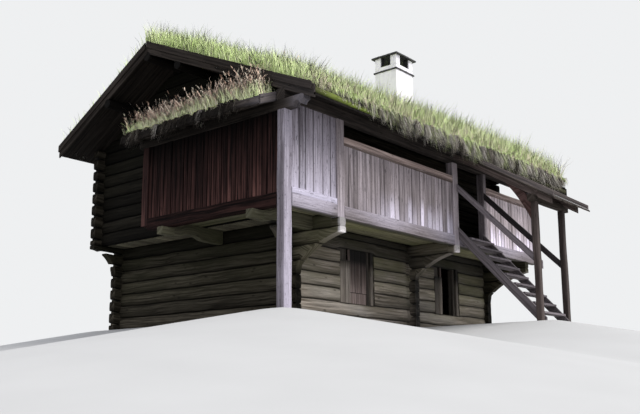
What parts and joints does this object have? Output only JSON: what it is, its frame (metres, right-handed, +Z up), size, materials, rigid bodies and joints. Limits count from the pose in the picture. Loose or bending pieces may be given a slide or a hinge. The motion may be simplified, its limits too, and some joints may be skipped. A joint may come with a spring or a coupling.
{
  "type": "raised log granary",
  "caption": "Raised timber granary: log walls on curved brackets carry a boarded upper gallery under a turf roof, with a stair porch at the front.",
  "frame": {"origin": "middle of the building's bounding box in plan, at the level ground that the walls, the corner post, the porch posts and the stair stand on", "axes": "+X to the right along the gallery front, +Y from the gallery front to the back wall, +Z up"},
  "size_m": [11.74, 10.47, 7.9096],
  "materials": {
    "old_logs": "weathered, tarred",
    "front_logs": "weathered grey",
    "pale_boards": "bare, silver grey",
    "dark_boards": "old tar, red brown",
    "post_wood": "bare, grey",
    "inner_wood": "bare",
    "roof_wood": "weathered, dark",
    "turf": "growing sod",
    "lime_wash": "limewashed",
    "slate": "split slate"
  },
  "bodies": {
    "granary": {"ground_left_gable": "old_logs", "ground_cross_wall": "old_logs", "ground_right_gable": "old_logs", "ground_back_wall": "old_logs", "ground_front_wall": "front_logs", "doorway_logs": "front_logs", "door_jambs": "front_logs", "ground_floor": "inner_wood", "floor_sleepers": "inner_wood", "upper_gables": "old_logs", "upper_back_wall": "old_logs", "upper_front_wall": "old_logs", "upper_doors": "dark_boards", "upper_floor": "inner_wood", "gallery_floor": "inner_wood", "gallery_joists": "old_logs", "corner_post": "pale_boards", "gallery_posts": "post_wood", "sill_beams": "post_wood", "gallery_boards": "dark_boards", "parapets": "post_wood", "parapet_rails": "post_wood", "front_plate": "roof_wood", "side_plate": "roof_wood", "purlins": "roof_wood", "deck_front": "roof_wood", "deck_back": "roof_wood", "turf_front": "turf", "turf_back": "turf", "turf_logs": "roof_wood", "barge_boards": "roof_wood", "side_roof_deck": "roof_wood", "side_roof_turf": "turf", "porch_posts": "post_wood", "porch_beam": "roof_wood", "porch_rafters": "post_wood", "porch_roof": "roof_wood", "knee_brace": "dark_boards", "stair_stringers": "post_wood", "stair_treads": "inner_wood", "handrails": "post_wood", "chimney": "lime_wash", "chimney_slates": "slate"},
    "left_leaf": {"left_door": "dark_boards"},
    "right_leaf": {"right_door": "dark_boards"}
  },
  "joints": [
    {"name": "left_door_hinge", "type": "hinge", "parent": "granary", "child": "left_leaf", "pos_m": [-1.76, -1.155, 0.44], "axis": [0, 0, 1], "range_deg": [0, 93]},
    {"name": "right_door_hinge", "type": "hinge", "parent": "granary", "child": "right_leaf", "pos_m": [2.21, -1.155, 0.44], "axis": [0, 0, 1], "range_deg": [-80, 13]}
  ]
}
